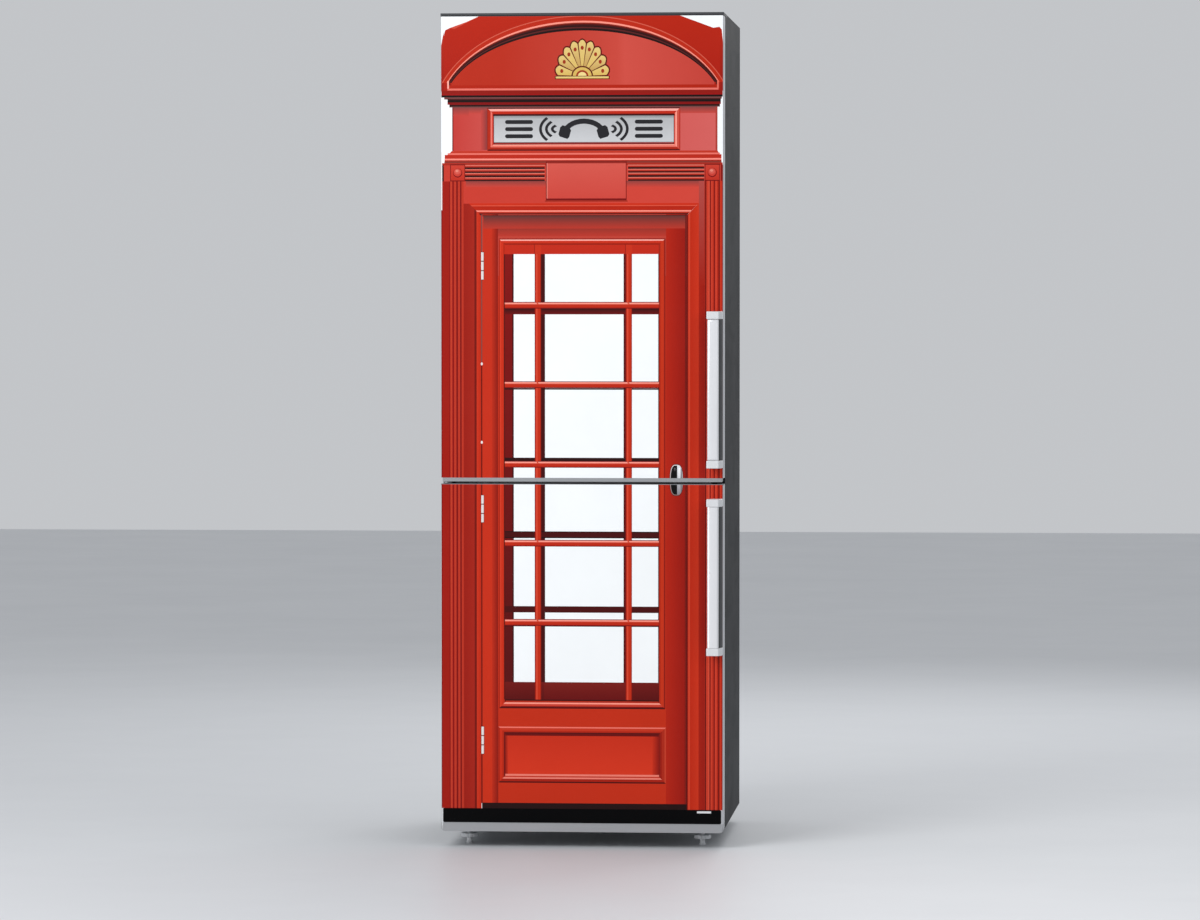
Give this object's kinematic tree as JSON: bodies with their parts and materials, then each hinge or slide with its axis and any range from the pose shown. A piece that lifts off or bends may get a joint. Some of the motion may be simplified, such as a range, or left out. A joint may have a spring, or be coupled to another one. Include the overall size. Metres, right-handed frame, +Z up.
{
  "type": "fridge-freezer",
  "caption": "Tall free-standing fridge-freezer with hinged doors one above the other, whose printed film pictures a red telephone booth; bar handles, shelves, drawers and racks.",
  "frame": {"origin": "on the floor, under the middle of the whole", "axes": "+Z up, doors and handles face -Y, door hinges at -X"},
  "size_m": [0.6, 0.693, 1.767],
  "materials": {
    "cabinet_paint": "satin",
    "zinc_steel": "satin",
    "black_paint": "satin",
    "door_paint": "satin",
    "silver_trim": "satin",
    "grey_plastic": "matt",
    "dark_plastic": "matt",
    "black_gloss": "gloss",
    "liner_white": "satin",
    "clear_plastic": "gloss",
    "shelf_glass": "gloss",
    "gasket_grey": "matt",
    "black_rubber": "matt",
    "printed_film": "gloss",
    "handle_aluminium": "satin",
    "copper_tube": "satin",
    "cold_tube": "satin",
    "insulation": "matt"
  },
  "bodies": {
    "cabinet": {"side_panel_left": "cabinet_paint", "side_panel_right": "cabinet_paint", "top_panel": "cabinet_paint", "top_trim": "dark_plastic", "back_panel": "zinc_steel", "base_tray": "zinc_steel", "centre_rail": "door_paint", "cabinet_foam": "insulation", "fridge_liner": "liner_white", "freezer_liner": "liner_white", "hinge_brackets": "zinc_steel", "screws": "zinc_steel", "compressor": "black_paint", "compressor_grommets": "black_rubber", "evaporation_tray": "liner_white", "condenser": "black_paint", "rear_spacers": "dark_plastic", "refrigerant_pipes": "copper_tube", "drain_pipe": "liner_white", "mains_gland": "dark_plastic", "control_box": "liner_white", "lamp_lens": "clear_plastic", "shelf_panes": "shelf_glass", "shelf_trims": "liner_white", "evaporator_shelves": "cold_tube"},
    "upper_door": {"upper_door_skin": "door_paint", "upper_door_foam": "insulation", "upper_door_liner": "liner_white", "upper_door_cap": "dark_plastic", "upper_door_sill": "silver_trim", "upper_door_gasket": "gasket_grey", "upper_door_film": "printed_film", "door_rack_top": "clear_plastic", "door_rack_middle": "clear_plastic", "door_rack_bottom": "clear_plastic", "upper_handle_bar": "handle_aluminium", "upper_handle_posts": "silver_trim"},
    "lower_door": {"lower_door_skin": "door_paint", "lower_door_foam": "insulation", "lower_door_liner": "liner_white", "lower_door_cap": "grey_plastic", "lower_door_sill": "silver_trim", "plinth_strip": "black_gloss", "lower_door_gasket": "gasket_grey", "lower_door_film": "printed_film", "lower_handle_bar": "handle_aluminium", "lower_handle_posts": "silver_trim"},
    "dairy_cover": {"dairy_cover": "clear_plastic"},
    "thermostat_knob": {"thermostat_knob": "grey_plastic"},
    "door_switch": {"door_switch": "grey_plastic"},
    "crisper_left": {"crisper_left": "clear_plastic"},
    "crisper_right": {"crisper_right": "clear_plastic"},
    "freezer_drawer_top": {"freezer_drawer_top": "clear_plastic"},
    "freezer_drawer_middle": {"freezer_drawer_middle": "clear_plastic"},
    "freezer_drawer_bottom": {"freezer_drawer_bottom": "clear_plastic"},
    "foot_left": {"foot_left": "grey_plastic"},
    "foot_right": {"foot_right": "grey_plastic"},
    "roller_left": {"roller_left": "dark_plastic"},
    "roller_right": {"roller_right": "dark_plastic"}
  },
  "joints": [
    {"name": "upper_door_hinge", "type": "hinge", "parent": "cabinet", "child": "upper_door", "pos_m": [-0.286, -0.2715, 1.269], "axis": [0, 0, -1], "range_deg": [0, 120]},
    {"name": "lower_door_hinge", "type": "hinge", "parent": "cabinet", "child": "lower_door", "pos_m": [-0.286, -0.2715, 0.403], "axis": [0, 0, -1], "range_deg": [0, 120]},
    {"name": "dairy_cover_hinge", "type": "hinge", "parent": "upper_door", "child": "dairy_cover", "pos_m": [0, -0.2435, 1.56552], "axis": [1, 0, 0], "range_deg": [0, 85]},
    {"name": "thermostat_turn", "type": "hinge", "parent": "cabinet", "child": "thermostat_knob", "pos_m": [-0.07, -0.1398, 1.695], "axis": [0, -1, 0], "range_deg": [0, 300]},
    {"name": "door_switch_travel", "type": "slide", "parent": "cabinet", "child": "door_switch", "axis": [0, -1, 0], "range_m": [0, 0.0051]},
    {"name": "crisper_left_slide", "type": "slide", "parent": "cabinet", "child": "crisper_left", "axis": [0, -1, 0], "range_m": [0, 0.016]},
    {"name": "crisper_right_slide", "type": "slide", "parent": "cabinet", "child": "crisper_right", "axis": [0, -1, 0], "range_m": [0, 0.016]},
    {"name": "freezer_drawer_top_slide", "type": "slide", "parent": "cabinet", "child": "freezer_drawer_top", "axis": [0, -1, 0], "range_m": [0, 0.02]},
    {"name": "freezer_drawer_middle_slide", "type": "slide", "parent": "cabinet", "child": "freezer_drawer_middle", "axis": [0, -1, 0], "range_m": [0, 0.02]},
    {"name": "freezer_drawer_bottom_slide", "type": "slide", "parent": "cabinet", "child": "freezer_drawer_bottom", "axis": [0, -1, 0], "range_m": [0, 0.02]},
    {"name": "foot_left_turn", "type": "hinge", "parent": "cabinet", "child": "foot_left", "pos_m": [-0.25, -0.2015, 0.04], "axis": [0, 0, 1], "continuous": true},
    {"name": "foot_right_turn", "type": "hinge", "parent": "cabinet", "child": "foot_right", "pos_m": [0.25, -0.2015, 0.04], "axis": [0, 0, 1], "continuous": true},
    {"name": "roller_left_spin", "type": "hinge", "parent": "cabinet", "child": "roller_left", "pos_m": [-0.25, 0.2625, 0.017], "axis": [1, 0, 0], "continuous": true},
    {"name": "roller_right_spin", "type": "hinge", "parent": "cabinet", "child": "roller_right", "pos_m": [0.25, 0.2625, 0.017], "axis": [1, 0, 0], "continuous": true}
  ],
  "couplings": [
    {"joint": "door_switch_travel", "follows": "upper_door_hinge", "m_per_rad": 0.0024}
  ]
}
